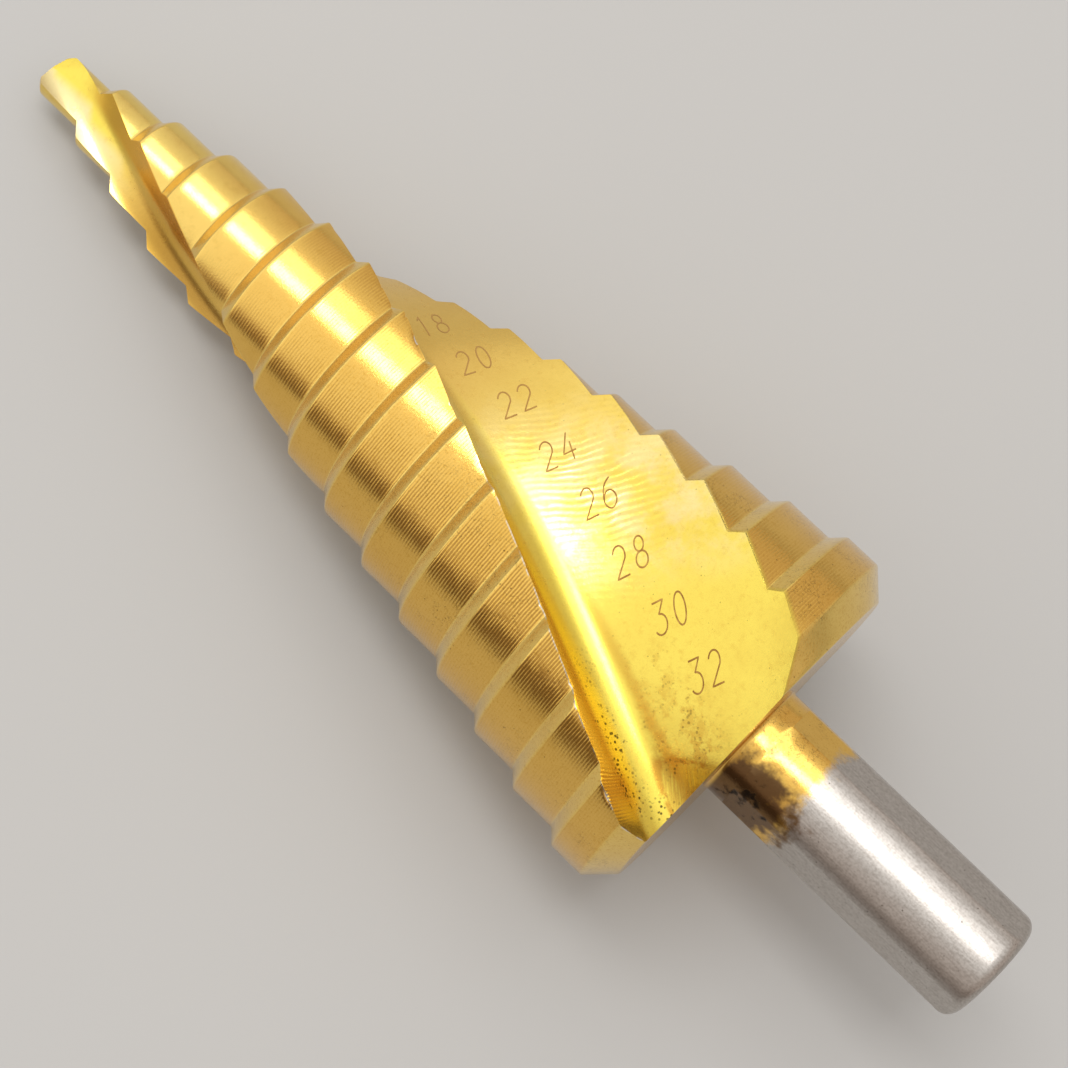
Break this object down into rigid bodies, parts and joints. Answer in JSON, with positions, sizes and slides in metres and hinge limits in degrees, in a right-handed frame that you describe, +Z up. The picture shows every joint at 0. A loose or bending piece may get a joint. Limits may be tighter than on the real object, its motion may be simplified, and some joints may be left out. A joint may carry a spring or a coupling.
{
  "type": "step drill",
  "caption": "Stepped conical drill bit with spiral flutes and a flatted shank, for drilling holes of graded sizes in sheet metal.",
  "frame": {"origin": "centre of the bounding box, on the surface that the drill lies on", "axes": "+Z up with the drill lying at rest on its lands, +X along the drill towards the shank end, +Y to its left"},
  "size_m": [0.1, 0.032, 0.0305],
  "materials": {
    "coated_steel": "gold titanium nitride coating over fine turning marks, bare satin steel on the rear of the shank"
  },
  "bodies": {
    "root": {"step_drill": "coated_steel"}
  },
  "joints": []
}
